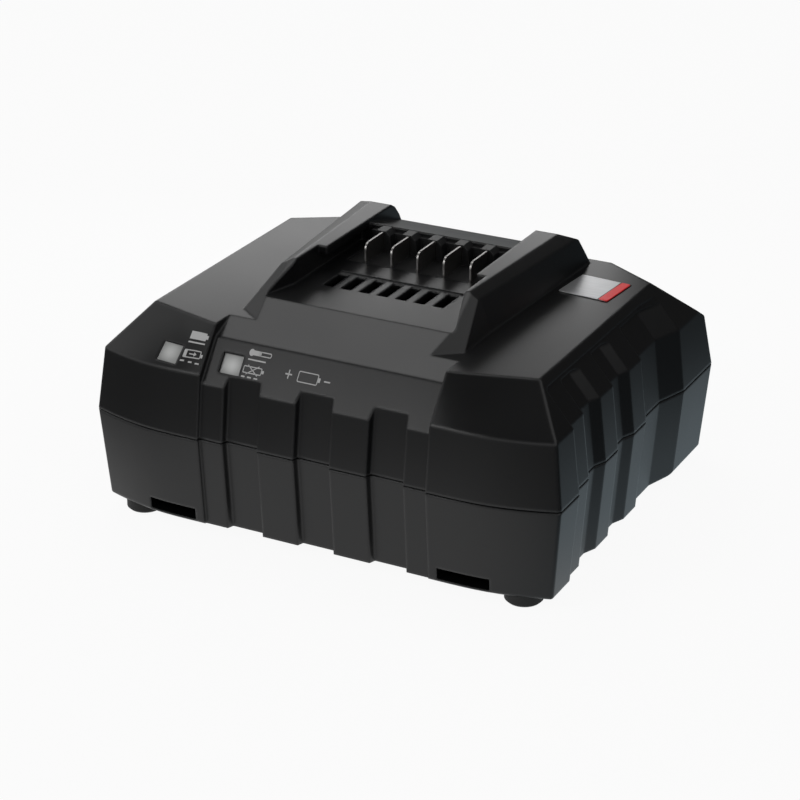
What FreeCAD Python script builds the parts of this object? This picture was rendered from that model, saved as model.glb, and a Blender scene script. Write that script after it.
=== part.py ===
import FreeCAD, Part
import math
import os
import re
from FreeCAD import Placement, Rotation, Vector
import Sketcher

os.makedirs("parts", exist_ok=True)
doc = FreeCAD.newDocument("battery_charger")

# Driving dimensions, in millimetres and degrees.
# The frame stands on the floor: +Z up, +Y towards the back, +X to the right seen from the front.
SIZES = {
    # outer form of the two shells
    "body_width": 171.0,
    "body_depth": 143.0,
    "section_half": 42.0,
    "corner_start": 52.0,
    "corner_sweep": 6.8,
    "back_sweep": 4.6,
    "plateau_sweep": 12.2,
    "base_level": 4.0,
    "seam_level": 36.4,
    "bend_level": 58.4,
    "plateau_level": 72.4,
    "lower_draft": 2.5,
    "front_lean": 2.9,
    "front_run": 11.2,
    "back_lean": 5.0,
    "back_run": 12.5,
    "back_corner_inset": 20.0,
    "back_corner_setback": 12.0,
    "back_corner_level": 55.6,
    "side_lean": 2.7,
    "side_run": 12.0,
    "edge_radius": 1.2,
    "wall": 2.2,
    "seam_gap": 0.5,
    "tongue_thickness": 1.2,
    "tongue_height": 2.0,
    "fit_gap": 0.1,
    # ribs and channels of the walls
    "front_step": 1.3,
    "channel_width": 13.5,
    "channel_pitch": 26.8,
    "channel_depth": 2.3,
    "channel_slant": 0.8,
    "side_step": 1.9,
    "side_panel_front": 21.4,
    "side_panel_back": 32.1,
    "side_panel_top": 69.2,
    "side_front_ramp": 1.8,
    "side_back_ramp": 12.6,
    "side_channel_width": 13.6,
    "side_channel_pitch": 24.0,
    "side_channel_depth": 2.0,
    "side_channel_front": 40.1,
    "side_channel_ramp": 4.9,
    "side_channel_top": 67.2,
    # battery dock on top
    "dock_floor_level": 76.7,
    "dock_skin": 2.5,
    "hollow_knee_run": 5.4,
    "hollow_knee_rise": 6.0,
    "hollow_setback": 10.0,
    "front_wall_top": 55.2,
    "crease_setback": 13.8,
    "crease_level": 68.4,
    "lip_setback": 36.3,
    "lip_level": 78.0,
    "lip_half": 34.6,
    "rail_level": 85.0,
    "rail_front": 49.7,
    "rail_back": 31.4,
    "rail_back_run": 10.4,
    "rail_shoulder_run": 4.5,
    "rail_shoulder_drop": 2.6,
    "rail_top_front_half": 32.8,
    "rail_top_back_half": 37.0,
    "rail_cheek_front_half": 36.6,
    "rail_cheek_back_half": 42.8,
    "rail_cheek_drop": 1.8,
    "rail_foot_front_half": 42.0,
    "rail_foot_back_half": 45.0,
    "nose_half": 32.0,
    "bay_half": 28.2,
    "groove_half": 31.6,
    "groove_height": 5.2,
    "overhang_front": 64.5,
    "deck_level": 83.7,
    "deck_fall": 0.278,
    "ridge_place": 65.0,
    "ridge_half": 23.1,
    "ridge_width": 0.7,
    "ridge_height": 0.4,
    "slot_count": 7,
    "slot_pitch": 6.9,
    "slot_width": 3.8,
    "slot_length": 12.0,
    "slot_front": 51.1,
    # openings in the lower front wall
    "window_inner": 45.1,
    "window_outer": 63.4,
    "window_height": 4.2,
    "window_sill": 1.1,
    # battery contacts
    "contact_count": 5,
    "contact_pitch": 10.0,
    "blade_thickness": 0.7,
    "blade_front": 76.6,
    "blade_reach": 13.2,
    "blade_height": 6.7,
    "blade_radius": 2.5,
    "blade_root": 3.6,
    "blade_tail_level": 60.0,
    "blade_tail_width": 3.0,
    "carrier_half": 26.5,
    "carrier_front": 75.6,
    "carrier_length": 19.6,
    "carrier_wall": 1.6,
    "carrier_base_level": 71.0,
    "carrier_flange": 2.0,
    "tower_level": 83.6,
    "tower_width": 5.0,
    "tower_chamfer": 1.6,
    # feet, fasteners and cable inlet
    "foot_radius": 6.4,
    "foot_inset_side": 14.0,
    "foot_inset_end": 12.0,
    "foot_recess": 1.0,
    "foot_chamfer": 0.8,
    "boss_inset_side": 23.0,
    "boss_inset_end": 21.5,
    "boss_radius": 5.0,
    "screw_radius": 1.75,
    "screw_head_radius": 3.4,
    "screw_head_height": 2.6,
    "screw_seat_level": 20.0,
    "screw_length": 30.0,
    "gland_level": 20.0,
    "gland_radius": 5.6,
    "gland_bore": 3.2,
    "gland_flange_radius": 8.0,
    "gland_flange": 1.2,
    "gland_pad_half": 10.5,
    # light windows and their board
    "light_width": 7.6,
    "light_length": 6.8,
    "light_depth": 4.3,
    "light_recess": 0.25,
    "light_left": 55.8,
    "light_left_rise": 3.9,
    "light_centre": 33.4,
    "light_centre_rise": 6.7,
    "light_centre_recess": 0.9,
    "led_board_setback": 14.37,
    "led_board_level": 58.25,
    "led_board_tilt": 46.25,
    "led_board_length": 36.8,
    "led_board_width": 5.6,
    "led_board_shift": 3.85,
    "led_board_thickness": 1.2,
    "led_post_radius": 2.2,
    "led_post_length": 7.45,
    "led_post_pitch": 17.95,
    "lamp_width": 3.2,
    "lamp_length": 2.8,
    "lamp_height": 1.2,
    # board and the parts on it
    "board_width": 112.0,
    "board_depth": 94.0,
    "board_level": 12.0,
    "board_thickness": 1.6,
    "board_hole_inset": 6.0,
    "standoff_radius": 3.4,
    "small_screw_radius": 1.4,
    "small_screw_head": 2.6,
    "core_width": 42.0,
    "core_height": 34.0,
    "core_depth": 13.0,
    "core_leg": 6.5,
    "core_centre": 12.5,
    "core_lift": 3.0,
    "core_place_x": -24.0,
    "core_place_y": 4.0,
    "winding_gap": 0.6,
    "winding_thickness": 7.0,
    "flange_thickness": 1.5,
    "can_edge": 0.8,
    "mains_can_radius": 11.0,
    "mains_can_height": 32.0,
    "mains_can_inset": 22.0,
    "output_can_radius": 5.0,
    "output_can_height": 20.0,
    "output_can_pitch": 12.5,
    "output_can_start": -4.0,
    "output_can_inset": 12.0,
    "choke_radius": 8.5,
    "choke_thickness": 4.2,
    "choke_inset_side": 24.0,
    "choke_inset_end": 14.0,
    "choke_base_radius": 9.0,
    "choke_base_height": 2.5,
    "fuse_radius": 2.6,
    "fuse_length": 20.0,
    "fuse_inset_side": 36.0,
    "fuse_inset_end": 12.0,
    "fuse_rise": 5.0,
    "clip_length": 4.0,
    "clip_half": 3.2,
    "clip_height": 6.2,
    "rectifier_width": 22.0,
    "rectifier_depth": 4.6,
    "rectifier_height": 16.0,
    "rectifier_place": 17.0,
    "rectifier_inset": 12.0,
    "sink_inset": 3.0,
    "sink_front": -24.0,
    "sink_length": 40.0,
    "sink_height": 30.0,
    "sink_plate": 2.5,
    "sink_reach": 6.0,
    "sink_fin": 1.5,
    "sink_pitch": 5.5,
    "transistor_width": 10.0,
    "transistor_depth": 4.5,
    "transistor_low": 8.0,
    "transistor_high": 23.0,
    "transistor_pin_pitch": 2.54,
    "transistor_pin_width": 0.8,
    "transistor_pin_depth": 0.6,
    "terminal_half": 6.0,
    "terminal_depth": 10.0,
    "terminal_height": 11.0,
    "terminal_inset": 4.0,
    "socket_place_x": 14.0,
    "socket_place_y": -24.0,
    "socket_width": 16.0,
    "socket_depth": 7.0,
    "socket_height": 8.0,
    # fan under the dock
    "fan_size": 40.0,
    "fan_height": 10.0,
    "fan_place": 55.1,
    "fan_post_length": 3.4,
    "fan_hole_pitch": 32.0,
    "duct_radius": 18.6,
    "rotor_radius": 17.9,
    "rotor_hub": 8.6,
    "rotor_gap": 0.8,
    "axle_radius": 1.0,
    "axle_gap": 0.04,
    "fan_blades": 7,
    "fan_blade_turn": 38.0,
    "fan_blade_thickness": 0.9,
}

sheet = doc.addObject("Spreadsheet::Sheet", "sizes")
for row, (name, value) in enumerate(SIZES.items(), start=1):
    sheet.set(f"A{row}", name)
    sheet.set(f"B{row}", str(value))
    sheet.setAlias(f"B{row}", name)
doc.recompute()

PLANES = {
    "XY": (Rotation(), "z", Vector(0, 0, 1)),
    "XZ": (Rotation(Vector(1, 0, 0), 90), "y", Vector(0, 1, 0)),
    "YZ": (Rotation(Vector(1, 1, 1), 120), "x", Vector(1, 0, 0)),
}


def bound(text):
    """Point every size named in an expression at its cell."""
    return re.sub(r"[a-z_]{3,}", lambda word: f"sizes.{word.group()}" if word.group() in SIZES else word.group(), text)


def outline(name, plane, corners, level="0"):
    """A closed sketch whose corners are expressions of the sheet."""
    turn, axis, normal = PLANES[plane]
    sketch = doc.addObject("Sketcher::SketchObject", name)
    sketch.Placement = Placement(Vector(), turn)
    sketch.setExpression(f"Placement.Base.{axis}", bound(level))
    count = len(corners)
    start = [Vector(index, 0.1 * index**2, 0) for index in range(count)]
    for index in range(count):
        sketch.addGeometry(Part.LineSegment(start[index], start[(index + 1) % count]))
    for index in range(count):
        sketch.addConstraint(Sketcher.Constraint("Coincident", index, 2, (index + 1) % count, 1))
    for index, corner in enumerate(corners):
        for kind, text in zip(("DistanceX", "DistanceY"), corner):
            number = sketch.addConstraint(Sketcher.Constraint(kind, -1, 1, index, 1, 1.0))
            sketch.setExpression(f"Constraints[{number}]", bound(text))
    return sketch


def prism(name, plane, corners, level, length):
    """A closed outline drawn out along the normal of its plane."""
    solid = doc.addObject("Part::Extrusion", name)
    solid.Base = outline(name + "_outline", plane, corners, level)
    solid.DirMode = "Custom"
    solid.Dir = PLANES[plane][2]
    solid.Solid = True
    solid.setExpression("LengthFwd", bound(length))
    return solid


def loft(name, plane, sections, ruled=True):
    """A solid through outlines, each given with its level."""
    solid = doc.addObject("Part::Loft", name)
    solid.Sections = [
        outline(f"{name}_outline_{index}", plane, corners, level) for index, (corners, level) in enumerate(sections)
    ]
    solid.Solid = True
    solid.Ruled = ruled
    return solid


def box(name, low, high):
    """A box between two corners given as expressions."""
    solid = doc.addObject("Part::Box", name)
    for axis, side, near, far in zip("xyz", ("Length", "Width", "Height"), low, high):
        solid.setExpression(f"Placement.Base.{axis}", bound(near))
        solid.setExpression(side, bound(f"({far}) - ({near})"))
    return solid


def cylinder(name, centre, radius, length):
    """An upright cylinder standing on its centre point."""
    solid = doc.addObject("Part::Cylinder", name)
    for axis, place in zip("xyz", centre):
        solid.setExpression(f"Placement.Base.{axis}", bound(place))
    solid.setExpression("Radius", bound(radius))
    solid.setExpression("Height", bound(length))
    return solid


def fuse(name, pieces):
    solid = doc.addObject("Part::MultiFuse", name)
    solid.Shapes = pieces
    solid.Refine = True
    return solid


def common(name, pieces):
    solid = doc.addObject("Part::MultiCommon", name)
    solid.Shapes = pieces
    return solid


def cut(name, body, tools):
    solid = doc.addObject("Part::Cut", name)
    solid.Base = body
    solid.Tool = tools[0] if len(tools) == 1 else group(name + "_tools", tools)
    solid.Refine = True
    return solid


def group(name, pieces):
    """Several solids that stay separate."""
    gathered = doc.addObject("Part::Compound", name)
    gathered.Links = pieces
    return gathered


def feature(name, shape, placement=None):
    """A solid that has no ready-made object of its own."""
    solid = doc.addObject("Part::Feature", name)
    solid.Shape = shape
    if placement:
        solid.Placement = placement
    return solid


NODES = {}


def keep(name, solid):
    """Name a finished piece, which also names its file."""
    solid.Label = name
    NODES[name] = solid


# Places that several pieces share
FRONT = "(-body_depth / 2)"
BACK = "(body_depth / 2)"
SIDE = "(body_width / 2)"
PANEL = f"({FRONT} + front_step)"
LEAN = "(front_lean / (bend_level - seam_level))"
INNER_SIDE = f"({SIDE} - lower_draft - side_step - side_channel_depth - wall)"
INNER_FRONT = f"({FRONT} + lower_draft + front_step + channel_depth + wall)"
INNER_BACK = f"(-{INNER_FRONT})"
DOCK_LIP = f"({FRONT} + lip_setback)"
CARRIER_FRONT = f"({FRONT} + carrier_front)"
CARRIER_BACK = f"({CARRIER_FRONT} + carrier_length)"
FAN_Y = f"({FRONT} + fan_place)"
FAN_TOP = "(dock_floor_level - dock_skin - fan_post_length)"
BOARD_TOP = "(board_level + board_thickness)"


# Outer form of the shells
def swept(corners):
    """The same side outline at stations across the width; the walls turn back in an arc, the plateau in a line."""
    right = [("section_half", "0", "0")]
    for part in (0.0, 0.25, 0.5, 0.75, 1.0):
        place = f"(corner_start + {part} * ({SIDE} - corner_start))"
        right.append((place, f"{part ** 2}", f"({place} - section_half) / ({SIDE} - section_half)"))
    left = [(f"-{place}", arc, line) for place, arc, line in reversed(right)]
    return [(corners(f"({arc})", f"({line})"), place) for place, arc, line in [*left, ("0", "0", "0"), *right]]


def upper_side(arc, line):
    below = "1 / (bend_level - seam_level)"
    return [
        (f"{FRONT} - front_lean * {below} + corner_sweep * {arc}", "seam_level - 1"),
        (f"{FRONT} + front_lean + corner_sweep * {arc}", "bend_level"),
        (f"{FRONT} + front_lean + front_run + plateau_sweep * {line}", "plateau_level"),
        (f"{BACK} - back_lean - back_run - back_sweep * {arc}", "plateau_level"),
        (f"{BACK} - back_lean - back_sweep * {arc}", "bend_level"),
        (f"{BACK} + back_lean * {below} - back_sweep * {arc}", "seam_level - 1"),
    ]


def lower_side(arc, line):
    return [
        (f"{FRONT} + corner_sweep * {arc}", "seam_level"),
        (f"{FRONT} + lower_draft + corner_sweep * {arc}", "base_level"),
        (f"{BACK} - lower_draft - back_sweep * {arc}", "base_level"),
        (f"{BACK} - back_sweep * {arc}", "seam_level"),
    ]


def both_sides(points):
    """A left and right outline from its right half, listed from the bottom up."""
    return points + [(f"-({across})", up) for across, up in reversed(points)]


def round_edges(name, body, level):
    """Round every edge of a faceted shell that doesn't lie on the parting line."""
    doc.recompute()
    chosen = []
    for number, edge in enumerate(body.Shape.Edges, start=1):
        if abs(edge.CenterOfMass.z - level) > 0.01:
            chosen.append((number, SIZES["edge_radius"], SIZES["edge_radius"]))
    rounded = doc.addObject("Part::Fillet", name)
    rounded.Base = body
    rounded.Edges = chosen
    return rounded


upper_front_view = both_sides([
    (SIDE, "seam_level"),
    (f"{SIDE} - side_lean", "bend_level"),
    (f"{SIDE} - side_lean - side_run", "plateau_level"),
])
lower_front_view = both_sides([
    (f"{SIDE} - lower_draft", "base_level"),
    (SIDE, "seam_level - seam_gap"),
])
upper_loft = loft("upper_loft", "YZ", swept(upper_side), ruled=False)
upper_view = prism("upper_view", "XZ", upper_front_view, f"{FRONT} - 2", "body_depth + 4")
lower_loft = loft("lower_loft", "YZ", swept(lower_side), ruled=False)
lower_view = prism("lower_view", "XZ", lower_front_view, f"{FRONT} - 2", "body_depth + 4")
doc.recompute()


# The plateau's back corners are cut off by one sloping plane each
def back_corner(name, hand):
    plateau = SIZES["plateau_level"]
    back = SIZES["body_depth"] / 2
    half = SIZES["body_width"] / 2
    edge_back = back - SIZES["back_lean"] - SIZES["back_run"]
    edge_side = half - SIZES["side_lean"] - SIZES["side_run"]
    inner = Vector(hand * (edge_side - SIZES["back_corner_inset"]), edge_back, plateau)
    outer = Vector(hand * edge_side, edge_back - SIZES["back_corner_setback"], plateau)
    share = (half - SIZES["side_lean"] - SIZES["corner_start"]) / (half - SIZES["corner_start"])
    sweep = SIZES["back_sweep"] * share**2
    corner = Vector(hand * (half - SIZES["side_lean"]), back - SIZES["back_lean"] - sweep, SIZES["back_corner_level"])
    along = (outer - inner).normalize()
    normal = along.cross(corner - inner).normalize()
    if normal.z < 0:
        normal = -normal
    reach = SIZES["body_width"]
    block = Part.makeBox(reach, reach, reach, Vector(-reach / 2, -reach / 2, 0))
    return feature(name, block, Placement(inner, Rotation(Vector(0, 0, 1), normal)))


upper_block = common("upper_block", [upper_loft, upper_view])
upper_facets = cut("upper_facets", upper_block, [back_corner("facet_right", 1), back_corner("facet_left", -1)])
lower_block = common("lower_block", [lower_loft, lower_view])
upper_round = round_edges("upper_round", upper_facets, SIZES["seam_level"])
lower_round = round_edges("lower_round", lower_block, SIZES["seam_level"] - SIZES["seam_gap"])


# Channels run down both shells, so each cutter is one slanted trough per wall
def end_channel(name, offset, shell, facing):
    """A channel in the front (facing -1) or back (facing 1) wall, slanted at its flanks."""
    sign = "" if facing > 0 else "-"
    if shell == "upper":
        low, high, lean = "seam_level - 1", "plateau_level", f"{'front' if facing < 0 else 'back'}_lean"
        top_shift = f"({lean}) * (plateau_level - seam_level) / (bend_level - seam_level)"
        low_shift = f"-({lean}) / (bend_level - seam_level)"
    else:
        low, high = "base_level - 1", "seam_level"
        top_shift = "0"
        low_shift = "lower_draft * (seam_level - base_level + 1) / (seam_level - base_level)"

    def trough(shift):
        face = f"(body_depth / 2 - front_step - ({shift}))"
        floor = f"({face} - channel_depth)"
        half = "channel_width / 2"
        return [
            (f"{offset} - {half} - 2 * channel_slant", f"{sign}({face} + 2 * channel_depth)"),
            (f"{offset} - {half}", f"{sign}{face}"),
            (f"{offset} - {half} + channel_slant", f"{sign}{floor}"),
            (f"{offset} + {half} - channel_slant", f"{sign}{floor}"),
            (f"{offset} + {half}", f"{sign}{face}"),
            (f"{offset} + {half} + 2 * channel_slant", f"{sign}({face} + 2 * channel_depth)"),
        ]

    return loft(name, "XY", [(trough(low_shift), low), (trough(top_shift), high)])


def side_trough(name, shell, hand, top, stations):
    """A trough in a side wall, given by its depth at places along the wall; its top runs out over the shoulder."""
    def band(depth):
        if shell == "upper":
            high = f"({SIDE} - side_lean - side_run * ({top} - bend_level) / (plateau_level - bend_level) - ({depth}))"
            line = [
                (f"{SIDE} - ({depth}) + side_lean / (bend_level - seam_level)", "seam_level - 1"),
                (f"{SIDE} - side_lean - ({depth})", "bend_level"),
                (high, top),
            ]
            outer = [
                (f"{SIDE} + 9", f"{top} + 0.6 * ({SIDE} + 9 - {high})"),
                (f"{SIDE} + 9", "seam_level - 1"),
            ]
        else:
            drop = "lower_draft / (seam_level - base_level)"
            line = [
                (f"{SIDE} - lower_draft - {drop} - ({depth})", "base_level - 1"),
                (f"{SIDE} - ({depth})", "seam_level"),
            ]
            outer = [(f"{SIDE} + 9", "seam_level"), (f"{SIDE} + 9", "base_level - 1")]
        return [(f"{hand} * ({across})", up) for across, up in line + outer]

    return loft(name, "XZ", [(band(depth), place) for depth, place in stations])


CHANNELS = ("-channel_pitch", "0", "channel_pitch")


def wall_cutters(shell):
    """Everything that steps and channels take off the outside of a shell."""
    tools = []
    for number, offset in enumerate(CHANNELS, start=1):
        tools.append(end_channel(f"{shell}_front_channel_{number}", offset, shell, -1))
        if offset != "0":
            tools.append(end_channel(f"{shell}_back_channel_{number}", offset, shell, 1))
    for hand, side in ((1, "right"), (-1, "left")):
        panel_front = f"{FRONT} + side_panel_front"
        panel_back = f"{BACK} - side_panel_back"
        floor = "side_step + side_channel_depth"
        tools.append(side_trough(f"{shell}_{side}_panel", shell, hand, "side_panel_top", [
            ("0", panel_front),
            ("side_step", f"{panel_front} + side_front_ramp"),
            ("side_step", f"{panel_back} - side_back_ramp - channel_slant"),
            ("0", f"{panel_back} - channel_slant"),
        ]))
        for number in range(3):
            front = f"{FRONT} + side_channel_front + {number} * side_channel_pitch - side_channel_width / 2"
            if number < 2:
                end = [
                    (floor, f"{front} + side_channel_width - side_channel_ramp"),
                    ("side_step", f"{front} + side_channel_width"),
                ]
            else:
                end = [(floor, f"{panel_back} - side_back_ramp"), ("0", panel_back)]
            tools.append(side_trough(f"{shell}_{side}_channel_{number}", shell, hand, "side_channel_top", [
                ("side_step", front),
                (floor, f"{front} + channel_slant"),
                *end,
            ]))
    return tools


# Lower shell
lower_panels = [
    prism(f"lower_{end}_panel", "YZ", [
        (f"{sign}({FRONT} - 5)", "seam_level"),
        (f"{sign}{PANEL}", "seam_level"),
        (f"{sign}({PANEL} + lower_draft)", "base_level"),
        (f"{sign}({PANEL} + lower_draft)", "base_level - 1"),
        (f"{sign}({FRONT} - 5)", "base_level - 1"),
    ], "-section_half", "2 * section_half")
    for end, sign in (("front", ""), ("back", "-"))
]


def cavity_plan(grow):
    """Plan of the hollow inside the shells, grown outwards for the tongue."""
    wide, deep = f"({INNER_SIDE} + {grow})", f"(-{INNER_FRONT} + {grow})"
    drawn_in = f"({deep} - corner_sweep)"
    return [
        (wide, f"-{drawn_in}"),
        (wide, drawn_in),
        ("section_half", deep),
        ("-section_half", deep),
        (f"-{wide}", drawn_in),
        (f"-{wide}", f"-{drawn_in}"),
        ("-section_half", f"-{deep}"),
        ("section_half", f"-{deep}"),
    ]


def at_corners(name, make, inset_side, inset_end):
    """One piece at each corner of the base."""
    pieces = []
    for number, (across, along) in enumerate(((1, -1), (1, 1), (-1, 1), (-1, -1)), start=1):
        place = (f"{across} * ({SIDE} - {inset_side})", f"{along} * ({BACK} - {inset_end})")
        pieces.append(make(f"{name}_{number}", place))
    return pieces


def at_board_holes(name, make):
    pieces = []
    for number, (across, along) in enumerate(((1, -1), (1, 1), (-1, 1), (-1, -1)), start=1):
        place = (
            f"{across} * (board_width / 2 - board_hole_inset)",
            f"{along} * (board_depth / 2 - board_hole_inset)",
        )
        pieces.append(make(f"{name}_{number}", place))
    return pieces


def upright(radius, low, high):
    """A maker of upright cylinders of one radius between two levels."""
    return lambda name, place: cylinder(name, (*place, low), radius, f"({high}) - ({low})")


lower_skin = cut("lower_skin", lower_round, lower_panels + wall_cutters("lower"))
tongue = prism("tongue", "XY", cavity_plan("tongue_thickness"), "seam_level - seam_gap - 1", "1 + tongue_height")
gland_pad = box(
    "gland_pad",
    ("-gland_pad_half", f"{INNER_BACK} - 1", "base_level + wall"),
    ("gland_pad_half", f"{BACK} - front_step", "gland_level + gland_pad_half"),
)
lower_cavity = prism("lower_cavity", "XY", cavity_plan("0"), "base_level + wall", "seam_level + tongue_height")
lower_pillars = (
    at_corners("lower_boss", upright("boss_radius", "base_level + 1", "seam_level"), "boss_inset_side", "boss_inset_end")
    + at_board_holes("standoff", upright("standoff_radius", "base_level + 1", "board_level"))
)
lower_holes = (
    at_corners("head_well", upright("screw_head_radius + 0.3", "base_level - 1", "screw_seat_level"),
               "boss_inset_side", "boss_inset_end")
    + at_corners("shank_hole", upright("screw_radius + fit_gap", "base_level", "seam_level + 1"),
                 "boss_inset_side", "boss_inset_end")
    + at_corners("foot_seat", upright("foot_radius", "base_level - 1", "base_level + foot_recess"),
                 "foot_inset_side", "foot_inset_end")
    + at_board_holes("board_screw_hole", upright("small_screw_radius", "base_level + wall + 1", "board_level + 1"))
)
for hand, side in ((1, "right"), (-1, "left")):
    lower_holes.append(box(
        f"air_window_{side}",
        (f"{hand} * (window_inner + window_outer) / 2 - (window_outer - window_inner) / 2", f"{FRONT} - 1",
         "base_level + window_sill"),
        (f"{hand} * (window_inner + window_outer) / 2 + (window_outer - window_inner) / 2", f"{INNER_FRONT} + 7",
         "base_level + window_sill + window_height"),
    ))
gland_hole = doc.addObject("Part::Cylinder", "gland_hole")
gland_hole.Placement = Placement(Vector(), Rotation(Vector(1, 0, 0), -90))
gland_hole.setExpression("Placement.Base.y", bound(f"{INNER_BACK} - 2"))
gland_hole.setExpression("Placement.Base.z", bound("gland_level"))
gland_hole.setExpression("Radius", bound("gland_radius"))
gland_hole.Height = 20
lower_body = fuse("lower_body", [
    cut("lower_tray", fuse("lower_closed", [lower_skin, tongue, gland_pad]), [lower_cavity]),
    *lower_pillars,
])
keep("lower_housing", cut("lower_drilled", lower_body, [*lower_holes, gland_hole]))

# Upper shell with the dock on top
CREASE_Y = f"({FRONT} + crease_setback)"


def dock_section(top, cheek, foot):
    return both_sides([
        (foot, "plateau_level - 3"),
        (cheek, "rail_level - rail_cheek_drop"),
        (top, "rail_level"),
    ])


dock_front = f"{DOCK_LIP} - 25"
dock_back = f"{BACK} - rail_back + rail_back_run"
dock_block = loft("dock_block", "XZ", [
    (dock_section("rail_top_front_half", "rail_cheek_front_half", "rail_foot_front_half"), dock_front),
    (dock_section("rail_top_front_half", "rail_cheek_front_half", "rail_foot_front_half"), f"{FRONT} + rail_front"),
    (dock_section("rail_top_back_half", "rail_cheek_back_half", "rail_foot_back_half"), dock_back),
])
front_cut = prism("front_cut", "YZ", [
    (f"{FRONT} - 5", "seam_level - 1"),
    (f"{PANEL} - {LEAN}", "seam_level - 1"),
    (f"{PANEL} + {LEAN} * (front_wall_top - seam_level)", "front_wall_top"),
    (CREASE_Y, "crease_level"),
    (DOCK_LIP, "lip_level"),
    (f"{FRONT} + rail_front", "rail_level"),
    (f"{FRONT} + rail_front", "rail_level + 5"),
    (f"{FRONT} - 5", "rail_level + 5"),
], "-section_half", "2 * section_half")
rear_cut = prism("rear_cut", "YZ", [
    (f"{BACK} - rail_back", "rail_level + 1"),
    (f"{BACK} - rail_back", "rail_level"),
    (f"{BACK} - rail_back + rail_shoulder_run", "rail_level - rail_shoulder_drop"),
    (dock_back, "plateau_level"),
    (f"{dock_back} + 5", "plateau_level"),
    (f"{dock_back} + 5", "rail_level + 1"),
], "-rail_foot_back_half - 2", "2 * rail_foot_back_half + 4")
upper_back_panel = prism("upper_back_panel", "YZ", [
    (f"{BACK} + 5", "seam_level - 1"),
    (f"{BACK} - front_step + back_lean / (bend_level - seam_level)", "seam_level - 1"),
    (f"{BACK} - front_step - back_lean", "bend_level"),
    (f"{BACK} - front_step - back_lean - back_run", "plateau_level"),
    (f"{BACK} - front_step - back_lean - 2 * back_run", "2 * plateau_level - bend_level"),
    (f"{BACK} + 5", "2 * plateau_level - bend_level"),
], "-section_half", "2 * section_half")


def nose_facet(name, hand):
    """The sloping cheek between the plateau and the lip, through three points of the nose."""
    front = -SIZES["body_depth"] / 2
    slope = SIZES["lip_level"] - SIZES["crease_level"]
    crease_y = front + SIZES["crease_setback"]
    lip_y = front + SIZES["lip_setback"]
    rise = SIZES["plateau_level"] - SIZES["crease_level"]
    tip = Vector(hand * SIZES["nose_half"], crease_y + rise * (lip_y - crease_y) / slope, SIZES["plateau_level"])
    lip = Vector(hand * SIZES["lip_half"], lip_y, SIZES["lip_level"])
    rail = Vector(hand * (SIZES["rail_top_front_half"] + 1), front + SIZES["rail_front"], SIZES["rail_level"])
    normal = (lip - tip).cross(rail - tip).normalize()
    if normal.z < 0:
        normal = -normal
    reach = SIZES["body_width"]
    block = Part.makeBox(reach, reach, reach / 4, Vector(-reach / 2, -reach / 2, 0))
    cutter = feature(name + "_block", block, Placement(tip, Rotation(Vector(0, 0, 1), normal)))
    keep_above = box(name + "_limit", (f"-{SIDE}", FRONT, "plateau_level"), (SIDE, "0", "rail_level + 9"))
    return common(name, [cutter, keep_above])


bay_front = prism("bay_front", "XY", [
    ("-groove_half", f"{FRONT} + overhang_front"),
    ("-groove_half", f"{FRONT} + rail_front - 2"),
    ("-lip_half", DOCK_LIP),
    ("-lip_half", f"{DOCK_LIP} - 4"),
    ("lip_half", f"{DOCK_LIP} - 4"),
    ("lip_half", DOCK_LIP),
    ("groove_half", f"{FRONT} + rail_front - 2"),
    ("groove_half", f"{FRONT} + overhang_front"),
], "dock_floor_level", "rail_level")
groove = box("groove", ("-groove_half", f"{FRONT} + overhang_front - 1", "dock_floor_level"),
             ("groove_half", CARRIER_BACK, "dock_floor_level + groove_height"))
bay_top = box("bay_top", ("-bay_half", f"{FRONT} + overhang_front - 1", "dock_floor_level"),
              ("bay_half", CARRIER_BACK, "rail_level + 1"))
deck = prism("deck", "YZ", [
    (f"{CARRIER_BACK} - 1", "rail_level + 1"),
    (f"{CARRIER_BACK} - 1", "deck_level + deck_fall"),
    (dock_back, f"deck_level - deck_fall * ({dock_back} - {CARRIER_BACK})"),
    (dock_back, "rail_level + 1"),
], "-bay_half", "2 * bay_half")
slots = [
    box(f"slot_{number}",
        (f"({number} - (slot_count - 1) / 2) * slot_pitch - slot_width / 2", f"{FRONT} + slot_front",
         "dock_floor_level - 9"),
        (f"({number} - (slot_count - 1) / 2) * slot_pitch + slot_width / 2", f"{FRONT} + slot_front + slot_length",
         "dock_floor_level + 1"))
    for number in range(int(SIZES["slot_count"]))
]

# The hollow of the upper shell, with its bosses and posts left standing


def slope_frame(across, back, level, turn, run, lift):
    """Placement on a slope of the front, with its z axis out of the surface."""
    tilt = math.atan2(lift / math.cos(turn), run)
    turned = Rotation(Vector(0, 0, 1), math.degrees(turn)) * Rotation(Vector(1, 0, 0), math.degrees(tilt))
    return Placement(Vector(across, back, level), turned)


def left_slope_frame(across, rise):
    """Placement on the left corner's slope, which runs from the arc of the wall to the line of the plateau."""
    reach = SIZES["body_width"] / 2 - SIZES["corner_start"]
    beyond = max(0.0, -across - SIZES["corner_start"])
    lean = SIZES["plateau_sweep"] / (SIZES["body_width"] / 2 - SIZES["section_half"])
    lift = SIZES["plateau_level"] - SIZES["bend_level"]
    low = SIZES["front_lean"] + SIZES["corner_sweep"] * (beyond / reach) ** 2
    high = SIZES["front_lean"] + SIZES["front_run"] + lean * (-across - SIZES["section_half"])
    low_turn = 2 * SIZES["corner_sweep"] * beyond / reach**2
    turn = -math.atan(low_turn + (lean - low_turn) * rise / lift)
    back = -SIZES["body_depth"] / 2 + low + (high - low) * rise / lift
    return slope_frame(across, back, SIZES["bend_level"] + rise, turn, high - low, lift)


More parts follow.
